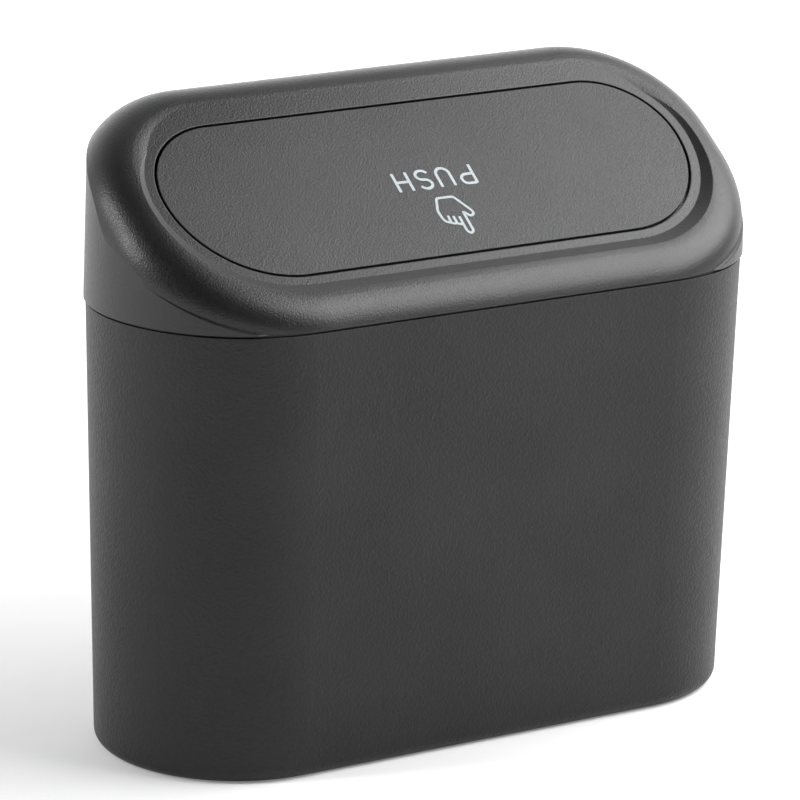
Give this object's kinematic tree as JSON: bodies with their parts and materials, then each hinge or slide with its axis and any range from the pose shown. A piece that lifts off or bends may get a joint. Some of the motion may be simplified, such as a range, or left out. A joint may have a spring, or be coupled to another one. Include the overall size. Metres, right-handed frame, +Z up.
{
  "type": "car trash bin",
  "caption": "Slim tapered bin for a car with two hanging hooks, a pull-off lid with a slanted top and a sprung flap that is pushed inwards.",
  "frame": {"origin": "on the ground under the middle of the tub, without the hooks", "axes": "+X along the bin's length, +Y towards the high back side and the hooks, +Z up"},
  "size_m": [0.21, 0.0988, 0.1858],
  "materials": {
    "tub_plastic": "black polypropylene, fine sand-blasted mould texture",
    "lid_plastic": "black polypropylene, smooth satin",
    "flap_plastic": "dark grey-black polypropylene, very fine matte",
    "pin_steel": "drawn steel wire",
    "spring_steel": "bright spring wire"
  },
  "bodies": {
    "tub": {"tub": "tub_plastic"},
    "lid": {"lid": "lid_plastic", "hinge_pin": "pin_steel", "torsion_spring_left": "spring_steel", "torsion_spring_right": "spring_steel"},
    "flap": {"push_flap": "flap_plastic"}
  },
  "joints": [
    {"name": "lid_lift", "type": "slide", "parent": "tub", "child": "lid", "axis": [0, 0, 1], "range_m": [0, 0.09]},
    {"name": "flap_press", "type": "hinge", "parent": "lid", "child": "flap", "pos_m": [0, 0.01736, 0.17007], "axis": [1, 0, 0], "range_deg": [0, 60], "stiffness_Nm_per_rad": 0.012, "springref_deg": -57.3, "deforming": ["torsion_spring_left", "torsion_spring_right"]}
  ]
}
